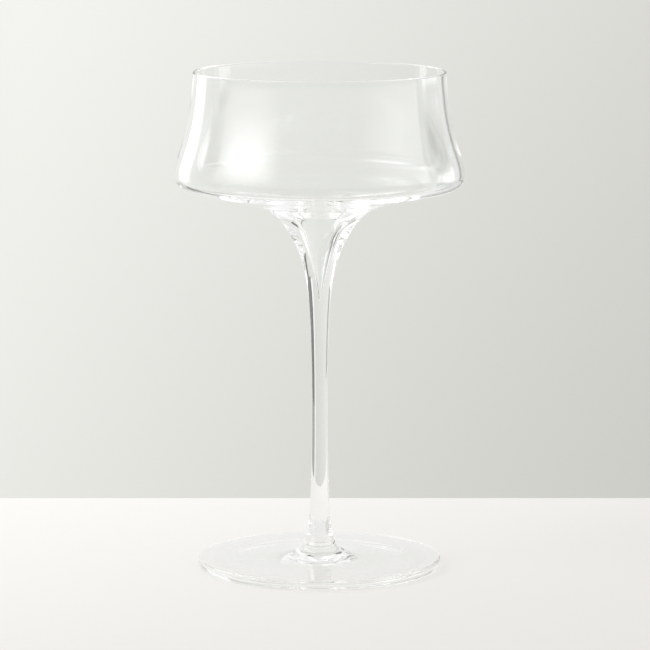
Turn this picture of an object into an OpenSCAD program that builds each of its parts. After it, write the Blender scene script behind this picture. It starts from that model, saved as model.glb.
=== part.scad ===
// Coupe glass: a wide shallow bowl with a drawn-in mouth, pulled down in the
// middle into a trumpet that is hollow most of the way, a slim solid stem and
// a flat round foot. Three gathers of clear glass, each fused to the next
// across a flat face.
// The axis is Z, and Z = 0 is the table that the foot's ring stands on.

/* [Overall] */
// Height from the table to the top of the lip
glass_h = 178; // [160:1:200]

/* [Bowl] */
// Diameter across the outside of the lip
lip_d = 89.6; // [84:0.2:94]
// Diameter of the widest ring, just above the underside
belly_d = 102.8; // [98:0.2:108]
// Depth from the top of the lip to where the underside turns into the trumpet
bowl_h = 47.2; // [42:0.2:56]
// Thickness of the glass at the lip, which is rounded to half of this
lip_wall = 1; // [0.8:0.05:1.4]
// Thickness of the floor, out past the trumpet
floor_wall = 1.6; // [1.2:0.05:2.2]

/* [Trumpet] */
// Diameter of the ring where the underside turns into the trumpet
flare_d = 47.2; // [42:0.2:54]
// Height of the floor's middle above that ring
floor_rise = 2.4; // [2:0.1:4]
// Depth of the funnel inside the trumpet, from the floor to its tip
funnel_h = 36.7; // [24:0.1:44]
// Solid glass from the funnel's tip down to the flat face with the stem
tip_wall = 4.5; // [2:0.1:10]

/* [Stem] */
// Diameter of the slimmest part
waist_d = 5.6; // [5:0.1:9]
// Height of the slimmest part above the table
waist_z = 50; // [40:1:70]

/* [Foot] */
// Diameter of the foot
foot_d = 87.2; // [78:0.2:96]
// Thickness of the rim
rim_t = 3.8; // [3:0.1:5]
// Radius that rounds the rim's top and bottom edges
rim_round = 1.3; // [0.8:0.05:1.5]
// Diameter of the bend between the stem and the foot's top
bend_d = 11.6; // [10:0.1:16]
// Height of that bend above the table
bend_z = 7.2; // [6:0.1:9]
// Height of the flat face where the stem is fused on
seat_z = 9; // [8.6:0.1:12]
// Width of the flat ring underneath
ring_w = 4; // [2:0.1:6]
// Hollow under the middle, so that only the ring touches the table
hollow_rise = 1.2; // [0.6:0.05:2]

/* [Smoothness] */
// Steps in each span of a curve
span_steps = 6; // [3:1:12]
// Steps in each quarter of a rounded edge
round_steps = 6; // [3:1:12]

/* [Hidden] */
$fn = 160;
lip_r = lip_d / 2;
belly_r = belly_d / 2;
flare_r = flare_d / 2;
waist_r = waist_d / 2;
foot_r = foot_d / 2;
bend_r = bend_d / 2;
lip_round = lip_wall / 2;
lip_z = glass_h - lip_round;
flare_z = glass_h - bowl_h;
floor_z = flare_z + floor_rise;
tip_z = floor_z - funnel_h;
seam_z = tip_z - tip_wall;
rim_r = foot_r - rim_round;
clear_glass = [0.86, 0.9, 0.9, 0.35];

// The whole outside is one smooth curve from the lip to the foot's rim, held
// by the control points in the tables below.

// Side of the bowl, from the lip to the belly's corner: how far out from the
// lip towards the belly, how far down towards the flare, and how much of the
// way the wall has grown from the lip's to the floor's.
side_shares = [
    [0, 0, 0],
    [0, 0.05, 0.05],
    [0.06, 0.14, 0.15],
    [0.16, 0.29, 0.3],
    [0.46, 0.49, 0.5],
    [0.88, 0.65, 0.75],
    [1.09, 0.79, 1],
    [0.73, 0.87, 1]
];

// Underside, from the corner in to the flare: how far in from the belly
// towards the flare, how far down towards the flare, and the wall as above.
under_shares = [
    [0.27, 0.905, 1],
    [0.55, 0.93, 1],
    [0.8, 0.96, 1]
];

// Floor and funnel, from over the flare to the tip on the axis: a share of the
// flare's radius, and how far down from the floor's height towards the tip.
funnel_shares = [
    [0.95, 0],
    [0.78, 0.02],
    [0.6, 0.05],
    [0.45, 0.09],
    [0.345, 0.145],
    [0.27, 0.21],
    [0.218, 0.29],
    [0.18, 0.38],
    [0.145, 0.47],
    [0.106, 0.58],
    [0.068, 0.72],
    [0.03, 0.88],
    [0.015, 0.985],
    [0.006, 1],
    [0, 1]
];

// Trumpet and shaft, from the flare down to the waist: how far out from the
// waist towards the flare, and how far up from the waist.
trumpet_shares = [
    [1, 1],
    [0.76, 0.98],
    [0.53, 0.93],
    [0.38, 0.87],
    [0.23, 0.8],
    [0.12, 0.71],
    [0.05, 0.59],
    [0.02, 0.44],
    [0, 0.24],
    [0, 0.1],
    [0, 0]
];

// Lower shaft, from the waist to the bend: how far out from the waist towards
// the bend, and how far up from the bend towards the waist.
shaft_shares = [
    [0, 0.88],
    [0.06, 0.65],
    [0.22, 0.35],
    [0.4, 0.15],
    [1, 0]
];

// Top of the foot, from the bend out to the rim: how far out towards the rim,
// and how far up from the rim's top towards the bend.
foot_shares = [
    [0.09, 0.5],
    [0.22, 0.33],
    [0.38, 0.22],
    [0.66, 0.09],
    [0.9, 0.02],
    [1, 0]
];

// Hollow underneath, from the ring to the axis: a share of the ring's inner
// radius, and a share of the rise.
hollow_shares = [
    [1, 0],
    [0.86, 0.02],
    [0.66, 0.6],
    [0.4, 0.95],
    [0.2, 1],
    [0, 1]
];

// A point on one span of a cubic B-spline with control points c.
function span_point(c, i, t) =
    ((1 - t) ^ 3 * c[i]
    + (3 * t ^ 3 - 6 * t ^ 2 + 4) * c[i + 1]
    + (-3 * t ^ 3 + 3 * t ^ 2 + 3 * t + 1) * c[i + 2]
    + t ^ 3 * c[i + 3]) / 6;

// A smooth curve that starts and ends on its first and last control points.
function curve(points) =
    let (
        first = points[0],
        last = points[len(points) - 1],
        c = concat([first, first], points, [last, last])
    )
    concat(
        [for (i = [0 : len(c) - 4], k = [0 : span_steps - 1]) span_point(c, i, k / span_steps)],
        [last]
    );

// Points on an arc round a centre, from one angle to another.
function arc(centre, radius, from_deg, to_deg, steps) =
    [for (k = [0 : steps])
        let (a = from_deg + (to_deg - from_deg) * k / steps)
        centre + radius * [cos(a), sin(a)]];

function reversed(points) = [for (i = [len(points) - 1 : -1 : 0]) points[i]];

// The side's shares are measured against its own widest ring.
widest_share = max([for (p = curve(side_shares)) p.x]);
bowl_controls = concat(
    [for (s = side_shares)
        [lip_r + s.x / widest_share * (belly_r - lip_r), lip_z - s.y * (lip_z - flare_z)]],
    [for (s = under_shares)
        [belly_r - s.x * (belly_r - flare_r), lip_z - s.y * (lip_z - flare_z)]]
);
stem_controls = concat(
    [for (s = trumpet_shares) [waist_r + s.x * (flare_r - waist_r), waist_z + s.y * (flare_z - waist_z)]],
    [for (s = shaft_shares) [waist_r + s.x * (bend_r - waist_r), bend_z + s.y * (waist_z - bend_z)]]
);
foot_controls = [for (s = foot_shares) [bend_r + s.x * (rim_r - bend_r), rim_t + s.y * (bend_z - rim_t)]];

// The outside, and its radius where each flat joint crosses it.
whole = curve(concat(bowl_controls, stem_controls, foot_controls));
heights = [for (p = whole) [p.y, p.x]];
seam_r = lookup(seam_z, heights);
seat_r = lookup(seat_z, heights);

// The unit vector that points into the glass at control point i.
function inward(i) =
    let (
        ahead = bowl_controls[min(i + 1, len(bowl_controls) - 1)],
        behind = bowl_controls[max(i - 1, 0)],
        run = ahead - behind
    )
    [run.y, -run.x] / norm(run);

// The inside: the bowl's control points moved in by the wall, then the floor
// and the funnel.
wall_shares = [for (s = concat(side_shares, under_shares)) s.z];
inside = curve(concat(
    [for (i = [0 : len(bowl_controls) - 1])
        let (wall = lip_wall + wall_shares[i] * (floor_wall - lip_wall))
        bowl_controls[i] + wall * inward(i)],
    [for (s = funnel_shares) [s.x * flare_r, floor_z - s.y * funnel_h]]
));

module bowl() {
    lip = arc([lip_r - lip_round, lip_z], lip_round, 0, 180, 2 * round_steps);
    side = [for (i = [1 : len(whole) - 1]) if (whole[i].y > seam_z) whole[i]];
    color(clear_glass)
        rotate_extrude()
            polygon(concat(
                lip,
                [for (i = [1 : len(inside) - 1]) inside[i]],
                [[0, seam_z], [seam_r, seam_z]],
                reversed(side)
            ));
}

module stem() {
    side = [for (p = whole) if (p.y < seam_z && p.y > seat_z) p];
    color(clear_glass)
        rotate_extrude()
            polygon(concat([[0, seam_z], [seam_r, seam_z]], side, [[seat_r, seat_z], [0, seat_z]]));
}

module foot() {
    ring_r = rim_r - ring_w;
    top = [for (i = [0 : len(whole) - 2]) if (whole[i].y < seat_z) whole[i]];
    edge = concat(
        arc([rim_r, rim_t - rim_round], rim_round, 90, 0, round_steps),
        arc([rim_r, rim_round], rim_round, 0, -90, round_steps)
    );
    hollow = curve([for (s = hollow_shares) [s.x * ring_r, s.y * hollow_rise]]);
    color(clear_glass)
        rotate_extrude()
            polygon(concat([[0, seat_z], [seat_r, seat_z]], top, edge, hollow));
}

bowl();
stem();
foot();
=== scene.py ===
import math

import bpy
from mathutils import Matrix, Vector


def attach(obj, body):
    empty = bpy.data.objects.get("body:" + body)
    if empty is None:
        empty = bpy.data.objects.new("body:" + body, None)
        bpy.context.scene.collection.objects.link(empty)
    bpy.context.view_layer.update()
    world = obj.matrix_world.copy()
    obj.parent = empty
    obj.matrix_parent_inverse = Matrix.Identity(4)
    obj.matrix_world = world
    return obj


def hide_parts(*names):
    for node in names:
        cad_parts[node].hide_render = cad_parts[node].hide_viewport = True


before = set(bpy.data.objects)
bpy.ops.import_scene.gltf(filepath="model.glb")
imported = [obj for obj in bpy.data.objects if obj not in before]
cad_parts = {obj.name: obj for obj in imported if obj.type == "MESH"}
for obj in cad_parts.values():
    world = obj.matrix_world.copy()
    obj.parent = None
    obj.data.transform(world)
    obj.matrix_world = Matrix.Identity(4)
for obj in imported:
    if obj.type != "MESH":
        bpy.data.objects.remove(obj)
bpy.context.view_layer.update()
print("frame loaded")

mm = 0.001


# Helpers

def hexColour(code):
    # sRGB hex to the linear colour that shaders take
    parts = [int(code[i:i + 2], 16) / 255 for i in (1, 3, 5)]
    return [c / 12.92 if c <= 0.04045 else ((c + 0.055) / 1.055) ** 2.4 for c in parts] + [1]


def addNode(tree, kind, settings=None, values=None):
    # values go to the inputs, by name or number: a plain value, or another node's output
    node = tree.nodes.new(kind)
    for name, value in (settings or {}).items():
        setattr(node, name, value)
    for key, value in (values or {}).items():
        if isinstance(value, bpy.types.NodeSocket):
            tree.links.new(value, node.inputs[key])
        else:
            node.inputs[key].default_value = value
    return node


def newMaterial(name):
    material = bpy.data.materials.new(name)
    material.use_nodes = True
    material.node_tree.nodes.clear()
    return material, material.node_tree


# Glass

# Lead-free crystal, blown and drawn hot, then fire-polished: water clear, with
# the slow ripples that hot glass keeps, and edges that go bright or dark.
crystalLook = {
    "colour": "#FDFEFE",
    "ior": 1.52,
    "roughest": 0.012,      # fire-polished, so next to nothing
    "rippleWidth": 26,      # mm from one slow ripple to the next
    "rippleDepth": 0.012,   # mm
    "fineWidth": 7,         # mm, the smaller unevenness on top
    "fineDepth": 0.0015,    # mm
    "polishedTo": 0.55,     # height on the fine noise where the polish starts to fade
    "roughFrom": 0.8,       # and where it is roughest
}


def makeCrystal(look):
    material, tree = newMaterial("fire-polished crystal")
    place = addNode(tree, "ShaderNodeTexCoord")
    slow = addNode(tree, "ShaderNodeTexNoise", {}, {
        "Vector": place.outputs["Object"], "Scale": 1 / (look["rippleWidth"] * mm),
        "Detail": 1, "Roughness": 0.3})
    fine = addNode(tree, "ShaderNodeTexNoise", {}, {
        "Vector": place.outputs["Object"], "Scale": 1 / (look["fineWidth"] * mm),
        "Detail": 2, "Roughness": 0.4})
    slowBump = addNode(tree, "ShaderNodeBump", {}, {
        "Strength": 1, "Distance": look["rippleDepth"] * mm, "Height": slow.outputs["Fac"]})
    fineBump = addNode(tree, "ShaderNodeBump", {}, {
        "Strength": 1, "Distance": look["fineDepth"] * mm, "Height": fine.outputs["Fac"],
        "Normal": slowBump.outputs["Normal"]})
    polish = addNode(tree, "ShaderNodeMapRange", {}, {
        "Value": fine.outputs["Fac"], "From Min": look["polishedTo"], "From Max": look["roughFrom"],
        "To Min": 0, "To Max": look["roughest"]})
    glass = addNode(tree, "ShaderNodeBsdfPrincipled", {}, {
        "Base Color": hexColour(look["colour"]), "Transmission Weight": 1, "IOR": look["ior"],
        "Roughness": polish.outputs["Result"], "Normal": fineBump.outputs["Normal"]})
    addNode(tree, "ShaderNodeOutputMaterial", {}, {"Surface": glass.outputs[0]})
    return material


def makeFusedSeam():
    # Glass fused to glass: no air is left between, so light goes straight on
    material, tree = newMaterial("fused seam")
    through = addNode(tree, "ShaderNodeBsdfTransparent", {}, {"Color": (1, 1, 1, 1)})
    addNode(tree, "ShaderNodeOutputMaterial", {}, {"Surface": through.outputs[0]})
    return material


crystal = makeCrystal(crystalLook)
fusedSeam = makeFusedSeam()


# Outline of the glass, in mm: one smooth curve outside, one inside

bowlSizes = {
    "top": 178,          # height of the lip
    "lipD": 89.6,
    "bellyD": 102.8,
    "depth": 47.2,       # lip to flare
    "lipWall": 1,
    "floorWall": 1.6,
    "floorRise": 2.4,    # flare up to the floor over it
    "funnelDepth": 36.7, # that floor down to the funnel's tip
    "tipWall": 4.5,      # tip down to the joint with the stem
}
stemSizes = {
    "flareD": 47.2,
    "waistD": 5.6,
    "waistZ": 50,
    "bendD": 11.6,
    "bendZ": 7.2,
    "seatZ": 9,          # joint with the foot
}
footSizes = {
    "footD": 87.2,
    "rimThick": 3.8,
    "rimRound": 1.3,
    "ringWidth": 4,
    "hollowRise": 1.2,
}

# Side: out from lip to belly, down from lip to flare, growth of the wall
sideShares = [(0, 0, 0), (0, 0.05, 0.05), (0.06, 0.14, 0.15), (0.16, 0.29, 0.3),
              (0.46, 0.49, 0.5), (0.88, 0.65, 0.75), (1.09, 0.79, 1), (0.73, 0.87, 1)]
# Underside: in from belly to flare, down from lip to flare, growth of the wall
underShares = [(0.27, 0.905, 1), (0.55, 0.93, 1), (0.8, 0.96, 1)]
# Floor and funnel: share of the flare's radius, down from the floor to the funnel's tip
funnelShares = [(0.95, 0), (0.78, 0.02), (0.6, 0.05), (0.45, 0.09), (0.345, 0.145), (0.27, 0.21),
                (0.218, 0.29), (0.18, 0.38), (0.145, 0.47), (0.106, 0.58), (0.068, 0.72), (0.03, 0.88),
                (0.015, 0.985), (0.006, 1), (0, 1)]
# Trumpet and shaft: out from waist to flare, up from waist to flare
trumpetShares = [(1, 1), (0.76, 0.98), (0.53, 0.93), (0.38, 0.87), (0.23, 0.8), (0.12, 0.71), (0.05, 0.59),
                 (0.02, 0.44), (0, 0.24), (0, 0.1), (0, 0)]
# Lower shaft: out from waist to bend, up from bend to waist
shaftShares = [(0, 0.88), (0.06, 0.65), (0.22, 0.35), (0.4, 0.15), (1, 0)]
# Foot's top: out from bend to rim, up from rim to bend
footShares = [(0.09, 0.5), (0.22, 0.33), (0.38, 0.22), (0.66, 0.09), (0.9, 0.02), (1, 0)]
# Hollow underneath: share of the ring's inner radius, share of the rise
hollowShares = [(1, 0), (0.86, 0.02), (0.66, 0.6), (0.4, 0.95), (0.2, 1), (0, 1)]

curveSteps = 8      # points in each span of a curve
roundSteps = 10     # points in each quarter of a rounded edge


def splineCurve(controls, steps=curveSteps):
    # Cubic B-spline that starts and ends on its first and last control points
    held = [controls[0]] * 2 + list(controls) + [controls[-1]] * 2
    points = []
    for a, b, c, d in zip(held, held[1:], held[2:], held[3:]):
        for k in range(steps):
            t = k / steps
            weights = ((1 - t) ** 3, 3 * t ** 3 - 6 * t ** 2 + 4,
                       -3 * t ** 3 + 3 * t ** 2 + 3 * t + 1, t ** 3)
            points.append(tuple(sum(w * p[i] for w, p in zip(weights, (a, b, c, d))) / 6
                                for i in range(len(a))))
    return points + [tuple(controls[-1])]


def arcPoints(centreR, centreZ, radius, fromDeg, toDeg, steps):
    angles = [math.radians(fromDeg + (toDeg - fromDeg) * k / steps) for k in range(steps + 1)]
    return [(centreR + radius * math.cos(a), centreZ + radius * math.sin(a)) for a in angles]


def radiusAt(points, height):
    # Radius where a falling outline crosses a height
    for (r1, z1), (r2, z2) in zip(points, points[1:]):
        if z1 >= height > z2:
            return r1 + (r2 - r1) * (z1 - height) / (z1 - z2)


def glassOutlines(bowl, stem, foot):
    lipR, bellyR, flareR = bowl["lipD"] / 2, bowl["bellyD"] / 2, stem["flareD"] / 2
    waistR, bendR = stem["waistD"] / 2, stem["bendD"] / 2
    lipRound = bowl["lipWall"] / 2
    lipZ = bowl["top"] - lipRound
    flareZ = bowl["top"] - bowl["depth"]
    floorZ = flareZ + bowl["floorRise"]
    seamZ = floorZ - bowl["funnelDepth"] - bowl["tipWall"]
    rimR = foot["footD"] / 2 - foot["rimRound"]

    widest = max(p[0] for p in splineCurve(sideShares))
    side = [(lipR + x / widest * (bellyR - lipR), lipZ - y * (lipZ - flareZ)) for x, y, w in sideShares]
    side += [(bellyR - x * (bellyR - flareR), lipZ - y * (lipZ - flareZ)) for x, y, w in underShares]
    shaft = [(waistR + x * (flareR - waistR), stem["waistZ"] + y * (flareZ - stem["waistZ"]))
             for x, y in trumpetShares]
    shaft += [(waistR + x * (bendR - waistR), stem["bendZ"] + y * (stem["waistZ"] - stem["bendZ"]))
              for x, y in shaftShares]
    top = [(bendR + x * (rimR - bendR), foot["rimThick"] + y * (stem["bendZ"] - foot["rimThick"]))
           for x, y in footShares]
    outside = splineCurve(side + shaft + top)

    # The inside's control points are the side's, moved in by the wall
    within = []
    for i, share in enumerate(sideShares + underShares):
        ahead, behind = side[min(i + 1, len(side) - 1)], side[max(i - 1, 0)]
        run = (ahead[0] - behind[0], ahead[1] - behind[1])
        move = (bowl["lipWall"] + share[2] * (bowl["floorWall"] - bowl["lipWall"])) / math.hypot(*run)
        within.append((side[i][0] + run[1] * move, side[i][1] - run[0] * move))
    within += [(x * flareR, floorZ - y * bowl["funnelDepth"]) for x, y in funnelShares]
    inside = splineCurve(within)

    seamR, seatR = radiusAt(outside, seamZ), radiusAt(outside, stem["seatZ"])
    ringR = rimR - foot["ringWidth"]
    lip = arcPoints(lipR - lipRound, lipZ, lipRound, 180, 0, 2 * roundSteps)
    edge = arcPoints(rimR, foot["rimThick"] - foot["rimRound"], foot["rimRound"], 90, 0, roundSteps)
    edge += arcPoints(rimR, foot["rimRound"], foot["rimRound"], 0, -90, roundSteps)
    hollow = splineCurve([(x * ringR, y * foot["hollowRise"]) for x, y in hollowShares])

    bowlLine = inside[:0:-1] + lip + [p for p in outside[1:] if p[1] > seamZ]
    bowlLine += [(seamR, seamZ), (0, seamZ)]
    stemLine = [(0, seamZ), (seamR, seamZ)] + [p for p in outside if stem["seatZ"] < p[1] < seamZ]
    stemLine += [(seatR, stem["seatZ"]), (0, stem["seatZ"])]
    footLine = [(0, stem["seatZ"]), (seatR, stem["seatZ"])] + [p for p in outside[:-1] if p[1] < stem["seatZ"]]
    footLine += edge + hollow
    return bowlLine, stemLine, footLine, seamZ


# Lathe: spins a line of points round Z

latheSizes = {
    "stepsRound": 256,
    "sharpDeg": 18,         # an edge that turns more than this stays crisp
    "weld": 0.001,          # mm, points nearer than this become one
    "jointReach": 0.002,    # mm from a joint's height that still counts as its face
}


def makeLatheTree():
    tree = bpy.data.node_groups.new("glass lathe", "GeometryNodeTree")
    tree.interface.new_socket("Geometry", in_out="OUTPUT", socket_type="NodeSocketGeometry")
    for name, kind in (("Line", "NodeSocketGeometry"), ("Steps Round", "NodeSocketInt"),
                       ("Upper Joint", "NodeSocketFloat"), ("Lower Joint", "NodeSocketFloat"),
                       ("Sharp Angle", "NodeSocketFloat"), ("Glass", "NodeSocketMaterial"),
                       ("Seam", "NodeSocketMaterial")):
        tree.interface.new_socket(name, in_out="INPUT", socket_type=kind)
    given = addNode(tree, "NodeGroupInput").outputs
    place = addNode(tree, "GeometryNodeInputPosition").outputs[0]
    count = addNode(tree, "GeometryNodeAttributeDomainSize", {}, {0: given["Line"]}).outputs["Point Count"]
    columns = addNode(tree, "FunctionNodeIntegerMath", {"operation": "ADD"},
                      {0: given["Steps Round"], 1: 1}).outputs[0]
    grid = addNode(tree, "GeometryNodeMeshGrid", {},
                   {"Vertices X": columns, "Vertices Y": count}).outputs["Mesh"]
    index = addNode(tree, "GeometryNodeInputIndex").outputs[0]
    along = addNode(tree, "FunctionNodeIntegerMath", {"operation": "MODULO"},
                    {0: index, 1: count}).outputs[0]
    column = addNode(tree, "FunctionNodeIntegerMath", {"operation": "DIVIDE_FLOOR"},
                     {0: index, 1: count}).outputs[0]
    turn = addNode(tree, "ShaderNodeMath", {"operation": "DIVIDE"},
                   {0: column, 1: given["Steps Round"]}).outputs[0]
    angle = addNode(tree, "ShaderNodeMath", {"operation": "MULTIPLY"},
                    {0: turn, 1: -2 * math.pi}).outputs[0]
    point = addNode(tree, "GeometryNodeSampleIndex", {"data_type": "FLOAT_VECTOR"},
                    {"Geometry": given["Line"], "Value": place, "Index": along}).outputs["Value"]
    spun = addNode(tree, "ShaderNodeVectorRotate", {"rotation_type": "Z_AXIS"},
                   {"Vector": point, "Angle": angle}).outputs[0]
    shaped = addNode(tree, "GeometryNodeSetPosition", {}, {"Geometry": grid, "Position": spun}).outputs[0]
    closed = addNode(tree, "GeometryNodeMergeByDistance", {},
                     {"Geometry": shaped, "Distance": latheSizes["weld"] * mm}).outputs[0]

    # Smooth all over, with a crisp edge only round the flat joints
    corner = addNode(tree, "GeometryNodeInputMeshEdgeAngle").outputs["Unsigned Angle"]
    crisp = addNode(tree, "FunctionNodeCompare", {"operation": "GREATER_THAN"},
                    {0: corner, 1: given["Sharp Angle"]}).outputs[0]
    smooth = addNode(tree, "GeometryNodeSetShadeSmooth", {"domain": "FACE"},
                     {"Geometry": closed, "Shade Smooth": True}).outputs[0]
    edged = addNode(tree, "GeometryNodeSetShadeSmooth", {"domain": "EDGE"},
                    {"Geometry": smooth, "Selection": crisp, "Shade Smooth": False}).outputs[0]

    height = addNode(tree, "ShaderNodeSeparateXYZ", {}, {0: place}).outputs["Z"]
    upper, lower = [addNode(tree, "ShaderNodeMath", {"operation": "COMPARE"},
                            {0: height, 1: given[name], 2: latheSizes["jointReach"] * mm}).outputs[0]
                    for name in ("Upper Joint", "Lower Joint")]
    atJoint = addNode(tree, "ShaderNodeMath", {"operation": "MAXIMUM"}, {0: upper, 1: lower}).outputs[0]
    realized = addNode(tree, "GeometryNodeRealizeInstances", {}, {"Geometry": edged}).outputs[0]
    glassy = addNode(tree, "GeometryNodeSetMaterial", {},
                     {"Geometry": realized, "Material": given["Glass"]}).outputs[0]
    done = addNode(tree, "GeometryNodeSetMaterial", {},
                   {"Geometry": glassy, "Selection": atJoint, "Material": given["Seam"]}).outputs[0]
    addNode(tree, "NodeGroupOutput", {}, {0: done})
    return tree


latheTree = makeLatheTree()


def spinPiece(name, line, upperJoint, lowerJoint):
    mesh = bpy.data.meshes.new(name + "Line")
    mesh.from_pydata([(r * mm, 0, z * mm) for r, z in line], [(i, i + 1) for i in range(len(line) - 1)], [])
    piece = bpy.data.objects.new(name, mesh)
    bpy.context.scene.collection.objects.link(piece)
    lathe = piece.modifiers.new("lathe", "NODES")
    lathe.node_group = latheTree
    inputs = {"Steps Round": latheSizes["stepsRound"], "Upper Joint": upperJoint * mm,
              "Lower Joint": lowerJoint * mm, "Sharp Angle": math.radians(latheSizes["sharpDeg"]),
              "Glass": crystal, "Seam": fusedSeam}
    for item in latheTree.interface.items_tree:
        if item.in_out == "INPUT" and item.name in inputs:
            lathe[item.identifier] = inputs[item.name]
    made = bpy.data.meshes.new_from_object(piece.evaluated_get(bpy.context.evaluated_depsgraph_get()))
    piece.modifiers.clear()
    made.materials.pop(index=0)     # the grid's own empty slot
    piece.data = made
    made.name = name
    return piece


bowlLine, stemLine, footLine, seamZ = glassOutlines(bowlSizes, stemSizes, footSizes)
noJoint = -1000     # mm, a height that no face has
bowlGlass = spinPiece("bowlGlass", bowlLine, noJoint, seamZ)
stemGlass = spinPiece("stemGlass", stemLine, seamZ, stemSizes["seatZ"])
footGlass = spinPiece("footGlass", footLine, stemSizes["seatZ"], noJoint)
for piece, node in ((bowlGlass, "bowl"), (stemGlass, "stem"), (footGlass, "foot")):
    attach(piece, "root")
    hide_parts(node)
print("glass spun:", [len(p.data.polygons) for p in (bowlGlass, stemGlass, footGlass)])


# Table and wall

stageSizes = {              # m
    "wallY": 0.124,         # how far the wall stands behind the glass's axis
    "wallHigh": 3.5,
    "wide": 6,
    "tableFront": -3.5,
    "tableBack": 3.5,       # seen from behind, through the wall
}
# Each fades evenly from its light spot to its dark one, in metres right, back and up: a painted pool
# of light on the left and painted shade on the right. Further out it fades to a quiet grey, painted
# falloff of the light, which shows the glass from the other sides
tableLook = {
    "light": "#FDFBF8",
    "dark": "#E7E5E1",
    "far": "#D8D7D2",
    "paintedLightSpot": (-0.126, 0.076, 0),
    "paintedShadeSpot": (0.072, -0.079, 0),
}
wallLook = {
    "light": "#FBFBF7",
    "dark": "#CACAC5",
    "far": "#D4D4CF",
    "paintedLightSpot": (-0.139, 0.124, 0.188),
    "paintedShadeSpot": (0.095, 0.124, 0.02),
}
# From near to away the colour fades to the far grey: painted falloff of the light away from the glass
fadeLook = {
    "past": 0.4,        # how far the fade runs on past both spots, as a share of the way
    "near": 0.28,       # m from the glass where the grey starts
    "away": 0.7,        # and where it is full
    "ownLight": 0.9,    # share of the colour that is seen as it is
}


def makePale(name, look):
    # The camera, and the glass it looks through, see most of the colour as it is;
    # the rest is lit, so that the shadow of the glass stays. From behind it is clear,
    # so that the glass can be looked at from all round.
    material, tree = newMaterial(name)
    start, end = Vector(look["paintedLightSpot"]), Vector(look["paintedShadeSpot"])
    run = end - start
    spot = addNode(tree, "ShaderNodeTexCoord").outputs["Object"]
    shifted = addNode(tree, "ShaderNodeVectorMath", {"operation": "SUBTRACT"}, {0: spot, 1: start}).outputs[0]
    along = addNode(tree, "ShaderNodeVectorMath", {"operation": "DOT_PRODUCT"},
                    {0: shifted, 1: run / run.length_squared}).outputs["Value"]
    # The colour fades from a painted pool of light to painted shade
    fade = addNode(tree, "ShaderNodeMapRange", {"interpolation_type": "SMOOTHSTEP"},
                   {"Value": along, "From Min": -fadeLook["past"], "From Max": 1 + fadeLook["past"]}).outputs[0]
    colour = addNode(tree, "ShaderNodeMix", {"data_type": "RGBA"},
                     {"Factor": fade, 6: hexColour(look["light"]), 7: hexColour(look["dark"])}).outputs[2]
    # and away from the glass into the painted falloff to grey
    away = addNode(tree, "ShaderNodeVectorMath", {"operation": "LENGTH"}, {0: spot}).outputs["Value"]
    paintedFalloff = addNode(tree, "ShaderNodeMapRange", {"interpolation_type": "SMOOTHSTEP"},
                    {"Value": away, "From Min": fadeLook["near"], "From Max": fadeLook["away"]}).outputs[0]
    colour = addNode(tree, "ShaderNodeMix", {"data_type": "RGBA"},
                     {"Factor": paintedFalloff, 6: colour, 7: hexColour(look["far"])}).outputs[2]
    matt = addNode(tree, "ShaderNodeBsdfDiffuse", {}, {"Color": colour}).outputs[0]
    own = addNode(tree, "ShaderNodeEmission", {}, {"Color": colour, "Strength": 1}).outputs[0]
    ray = addNode(tree, "ShaderNodeLightPath").outputs
    seen = addNode(tree, "ShaderNodeMath", {"operation": "MAXIMUM"},
                   {0: ray["Is Camera Ray"], 1: ray["Is Glossy Ray"]}).outputs[0]
    seen = addNode(tree, "ShaderNodeMath", {"operation": "MAXIMUM"},
                   {0: seen, 1: ray["Is Transmission Ray"]}).outputs[0]
    share = addNode(tree, "ShaderNodeMath", {"operation": "MULTIPLY"},
                    {0: seen, 1: fadeLook["ownLight"]}).outputs[0]
    both = addNode(tree, "ShaderNodeMixShader", {}, {"Fac": share, 1: matt, 2: own}).outputs[0]
    behind = addNode(tree, "ShaderNodeNewGeometry").outputs["Backfacing"]
    clear = addNode(tree, "ShaderNodeBsdfTransparent", {}, {"Color": (1, 1, 1, 1)}).outputs[0]
    oneSided = addNode(tree, "ShaderNodeMixShader", {}, {"Fac": behind, 1: both, 2: clear}).outputs[0]
    addNode(tree, "ShaderNodeOutputMaterial", {}, {"Surface": oneSided})
    return material


def flatSheet(name, corners, material):
    mesh = bpy.data.meshes.new(name)
    mesh.from_pydata(corners, [], [(0, 1, 2, 3)])
    mesh.materials.append(material)
    sheet = bpy.data.objects.new(name, mesh)
    bpy.context.scene.collection.objects.link(sheet)
    return sheet


half, wallY, wallHigh = stageSizes["wide"] / 2, stageSizes["wallY"], stageSizes["wallHigh"]
tableFront, tableBack = stageSizes["tableFront"], stageSizes["tableBack"]
flatSheet("table", [(-half, tableFront, 0), (half, tableFront, 0), (half, tableBack, 0), (-half, tableBack, 0)],
          makePale("pale table", tableLook))
flatSheet("wall", [(-half, wallY, 0), (half, wallY, 0), (half, wallY, wallHigh), (-half, wallY, wallHigh)],
          makePale("pale wall", wallLook))


# Lights

# Clear glass shows only what stands round it, so it is lit by upright cards. In metres,
# each has the line that it stands over and the heights of its lower and upper edges.
# A glowing card fades to clear at its start, end, bottom and top, over a share of its
# width or height. A window shows in the glass as a gleam, not straight through it, and lights
# nothing else: a painted highlight.
windows = {
    "window left": {"start": (-0.85, 0.115), "end": (-0.5, -0.85), "low": 0.08, "high": 0.8,
                    "strength": 4.1, "fades": (0.38, 0.5, 0.6, 0.4)},
    "window right": {"start": (0.85, 0.115), "end": (0.5, -0.85), "low": 0.05, "high": 0.6,
                     "strength": 1.6, "fades": (0.05, 0.7, 0.2, 0.3)},
}
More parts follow.
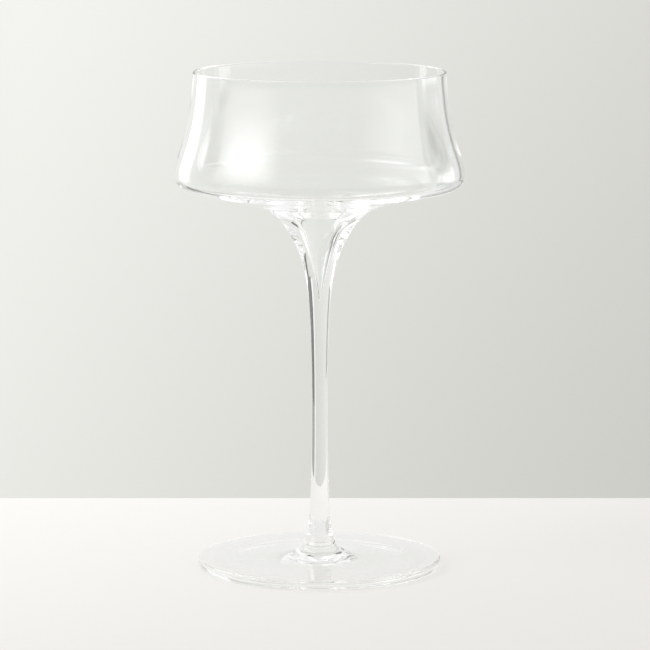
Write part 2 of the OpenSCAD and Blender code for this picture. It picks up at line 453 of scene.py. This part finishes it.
# White strips and grey cards stand where the edges of the glass look. The strips glow only for
# the glass, lighting nothing, as painted highlights; the grey cards put painted dark edges in it
strips = {
    "strip left": {"start": (-0.25, 0.12), "end": (-0.13, 0.12), "low": 0.075, "high": 0.6,
                   "strength": 2.2, "fades": (0.2, 0, 0.15, 0.3)},
    "high strip left": {"start": (-0.45, 0.121), "end": (-0.045, 0.121), "low": 0.205, "high": 0.6,
                        "strength": 2.2, "fades": (0.1, 0, 0.02, 0.3)},
    "strip right": {"start": (0.132, 0.115), "end": (0.165, 0.1), "low": 0.085, "high": 0.5,
                    "strength": 0.9, "fades": (0, 0, 0, 0.3)},
    "low strip right": {"start": (0.165, 0.12), "end": (0.296, 0.047), "low": 0.105, "high": 0.17,
                        "strength": 1.8, "fades": (0.1, 0.1, 0.2, 0.2)},
}
# Painted shade: dark cards, unseen by the camera, that darken the glass's edges
greyCards = {
    "low grey card": {"start": (0.165, 0.12), "end": (0.296, 0.047), "low": 0.076, "high": 0.102,
                      "colour": "#7A7A78"},
    "grey card": {"start": (0.165, 0.12), "end": (0.296, 0.047), "low": 0.18, "high": 0.27,
                  "colour": "#5A5A58"},
}
# Painted shade: dark cards that put the dark lines and streaks into the stem, trumpet and corner.
# These reach into the picture, so only light that went through the glass sees them,
# and only on some paths: a ray value, a comparison and a limit
throughRods = ("Ray Depth", "LESS_THAN", 2.5)           # in and out of solid glass, such as the stem
alongWalls = ("Ray Depth", "GREATER_THAN", 2.5)         # turned about inside the glass first
fromTrumpet = ("Ray Length", "GREATER_THAN", 0.148)     # the bowl's edge is nearer to the card
hiddenCards = {
    "stem card": {"start": (0.066, 0.118), "end": (0.17, 0.075), "low": 0.035, "high": 0.12,
                  "colour": "#5C5C5A", "seenBy": throughRods},
    "low stem card": {"start": (0.066, 0.118), "end": (0.17, 0.075), "low": 0, "high": 0.035,
                      "colour": "#8E8E8C", "seenBy": throughRods},
    "left stem card": {"start": (-0.16, 0.118), "end": (-0.095, 0.118), "low": 0.045, "high": 0.11,
                       "colour": "#A8A8A6", "seenBy": throughRods},
    "trumpet card": {"start": (0.05, 0.119), "end": (0.13, 0.119), "low": 0.12, "high": 0.19,
                     "colour": "#4A4A48", "seenBy": fromTrumpet},
    "corner card": {"start": (-0.13, 0.119), "end": (-0.05, 0.119), "low": 0.035, "high": 0.08,
                    "colour": "#3C3C3A", "seenBy": alongWalls},
}
# Painted highlight: a glowing strip that lights nothing and is seen only in the glass
cornerStrip = {"start": (0.05, 0.121), "end": (0.13, 0.121), "low": 0, "high": 0.115,
               "strength": 1, "fades": (0, 0, 0, 0)}
# Painted reflection: a glowing sheet before the foot of the wall, seen only in reflections, so that
# the foot's polished top mirrors a brighter foot of the wall
paintedReflectionCard = {"start": (-0.4, 0.1235), "end": (0.4, 0.1235), "low": 0, "high": 0.1,
                "strength": 0.95, "fades": (0.1, 0.5, 0, 0.2)}
# A sloping window high over the left, which the trumpet's flare sees through the bowl. It lights
# nothing and shows only in the glass, as a painted highlight on the flare
highWindowLook = {
    "left": -1.4,
    "right": -0.5,
    "leftHigh": 0.7,
    "rightHigh": 1.1,
    "halfDeep": 0.9,
    "strength": 1.2,
}
# A soft lamp up on the left casts the glass's faint shadow to the right
lampLook = {
    "energy": 2,
    "softDeg": 25,
    "backDeg": 15,      # turned towards the wall
    "rightDeg": 50,     # and over to the right
}
roomLook = {"colour": (0.92, 0.92, 0.91, 1), "strength": 1}


def hideFrom(thing, *rays):
    for ray in rays:
        setattr(thing, "visible_" + ray, False)


def standingSheet(name, card, material):
    (x1, y1), (x2, y2), low, high = card["start"], card["end"], card["low"], card["high"]
    return flatSheet(name, [(x1, y1, low), (x2, y2, low), (x2, y2, high), (x1, y1, high)], material)


def greyCard(name, card):
    material, tree = newMaterial(name)
    paint = addNode(tree, "ShaderNodeBsdfPrincipled", {},
                    {"Base Color": hexColour(card["colour"]), "Roughness": 0.7}).outputs[0]
    if "seenBy" in card:
        value, comparison, limit = card["seenBy"]
        ray = addNode(tree, "ShaderNodeLightPath").outputs[value]
        seen = addNode(tree, "ShaderNodeMath", {"operation": comparison}, {0: ray, 1: limit}).outputs[0]
        clear = addNode(tree, "ShaderNodeBsdfTransparent", {}, {"Color": (1, 1, 1, 1)}).outputs[0]
        paint = addNode(tree, "ShaderNodeMixShader", {}, {"Fac": seen, 1: clear, 2: paint}).outputs[0]
    addNode(tree, "ShaderNodeOutputMaterial", {}, {"Surface": paint})
    sheet = standingSheet(name, card, material)
    hideFrom(sheet, "camera")
    return sheet


def glowCard(name, card, gleamsOnly=False):
    material, tree = newMaterial(name)
    start, low = (*card["start"], card["low"]), card["low"]
    run = Vector((*card["end"], low)) - Vector(start)
    spot = addNode(tree, "ShaderNodeTexCoord").outputs["Object"]
    shifted = addNode(tree, "ShaderNodeVectorMath", {"operation": "SUBTRACT"}, {0: spot, 1: start}).outputs[0]
    along = addNode(tree, "ShaderNodeVectorMath", {"operation": "DOT_PRODUCT"},
                    {0: shifted, 1: run / run.length_squared}).outputs["Value"]
    up = addNode(tree, "ShaderNodeVectorMath", {"operation": "DOT_PRODUCT"},
                 {0: shifted, 1: (0, 0, 1 / (card["high"] - low))}).outputs["Value"]
    cover = 1
    if gleamsOnly:
        gleams = addNode(tree, "ShaderNodeLightPath").outputs["Glossy Depth"]
        cover = addNode(tree, "ShaderNodeMath", {"operation": "GREATER_THAN"}, {0: gleams, 1: 0.5}).outputs[0]
    atStart, atEnd, atBottom, atTop = card["fades"]
    for place, edge, full in ((along, 0, atStart), (along, 1, 1 - atEnd), (up, 0, atBottom), (up, 1, 1 - atTop)):
        if edge != full:
            part = addNode(tree, "ShaderNodeMapRange", {"interpolation_type": "SMOOTHSTEP"},
                           {"Value": place, "From Min": edge, "From Max": full}).outputs[0]
            cover = addNode(tree, "ShaderNodeMath", {"operation": "MULTIPLY"}, {0: cover, 1: part}).outputs[0]
    glow = addNode(tree, "ShaderNodeEmission", {}, {"Color": (1, 1, 1, 1), "Strength": card["strength"]}).outputs[0]
    clear = addNode(tree, "ShaderNodeBsdfTransparent", {}, {"Color": (1, 1, 1, 1)}).outputs[0]
    faded = addNode(tree, "ShaderNodeMixShader", {}, {"Fac": cover, 1: clear, 2: glow}).outputs[0]
    addNode(tree, "ShaderNodeOutputMaterial", {}, {"Surface": faded})
    sheet = standingSheet(name, card, material)
    hideFrom(sheet, "camera", "diffuse")
    return sheet


for name, card in windows.items():
    glowCard(name, card, gleamsOnly=True)
for name, card in strips.items():
    glowCard(name, card)
for name, card in greyCards.items():
    greyCard(name, card)
for name, card in hiddenCards.items():
    hideFrom(greyCard(name, card), "diffuse", "shadow")
hideFrom(glowCard("corner strip", cornerStrip), "shadow")
# painted reflection on the foot's top, seen only by reflected rays
hideFrom(glowCard("painted reflection card", paintedReflectionCard), "shadow", "transmission")

highMaterial, highTree = newMaterial("high window")
highGlow = addNode(highTree, "ShaderNodeEmission", {},
                   {"Color": (1, 1, 1, 1), "Strength": highWindowLook["strength"]}).outputs[0]
addNode(highTree, "ShaderNodeOutputMaterial", {}, {"Surface": highGlow})
left, right, deep = highWindowLook["left"], highWindowLook["right"], highWindowLook["halfDeep"]
leftHigh, rightHigh = highWindowLook["leftHigh"], highWindowLook["rightHigh"]
highWindow = flatSheet("high window", [(left, -deep, leftHigh), (right, -deep, rightHigh),
                                       (right, deep, rightHigh), (left, deep, leftHigh)], highMaterial)
hideFrom(highWindow, "camera", "diffuse", "shadow")

lamp = bpy.data.objects.new("soft lamp", bpy.data.lights.new("soft lamp", "SUN"))
lamp.data.energy = lampLook["energy"]
lamp.data.angle = math.radians(lampLook["softDeg"])
lamp.rotation_euler = (math.radians(lampLook["backDeg"]), -math.radians(lampLook["rightDeg"]), 0)
hideFrom(lamp, "glossy", "transmission")
bpy.context.scene.collection.objects.link(lamp)

world = bpy.data.worlds.new("room")
world.use_nodes = True
world.node_tree.nodes.clear()
air = addNode(world.node_tree, "ShaderNodeBackground", {},
              {"Color": roomLook["colour"], "Strength": roomLook["strength"]})
addNode(world.node_tree, "ShaderNodeOutputWorld", {}, {"Surface": air.outputs[0]})
bpy.context.scene.world = world
print("stage and lights set")


# Camera

cameraSizes = {
    "across": 1.9,      # mm right of the glass's axis
    "away": 1333,       # mm in front of it
    "high": 289.5,      # mm over the table
    "tiltDeg": 8.62,    # down
    "lens": 209.6,      # mm
    "sensor": 36,       # mm
}
lens = bpy.data.cameras.new("camera")
lens.lens = cameraSizes["lens"]
lens.sensor_width = cameraSizes["sensor"]
camera = bpy.data.objects.new("camera", lens)
camera.location = (cameraSizes["across"] * mm, -cameraSizes["away"] * mm, cameraSizes["high"] * mm)
camera.rotation_euler = (math.radians(90 - cameraSizes["tiltDeg"]), 0, 0)
bpy.context.scene.collection.objects.link(camera)
bpy.context.scene.camera = camera
bpy.context.scene.view_settings.view_transform = "Standard"

# Light runs along inside the bowl's thin wall for a hundred turns before it
# leaves, and the wall goes black where it is cut short
mostTurns, mostClear = 200, 32
paths = bpy.context.scene.cycles
paths.max_bounces = paths.glossy_bounces = paths.transmission_bounces = mostTurns
paths.transparent_max_bounces = mostClear

print("scene done")
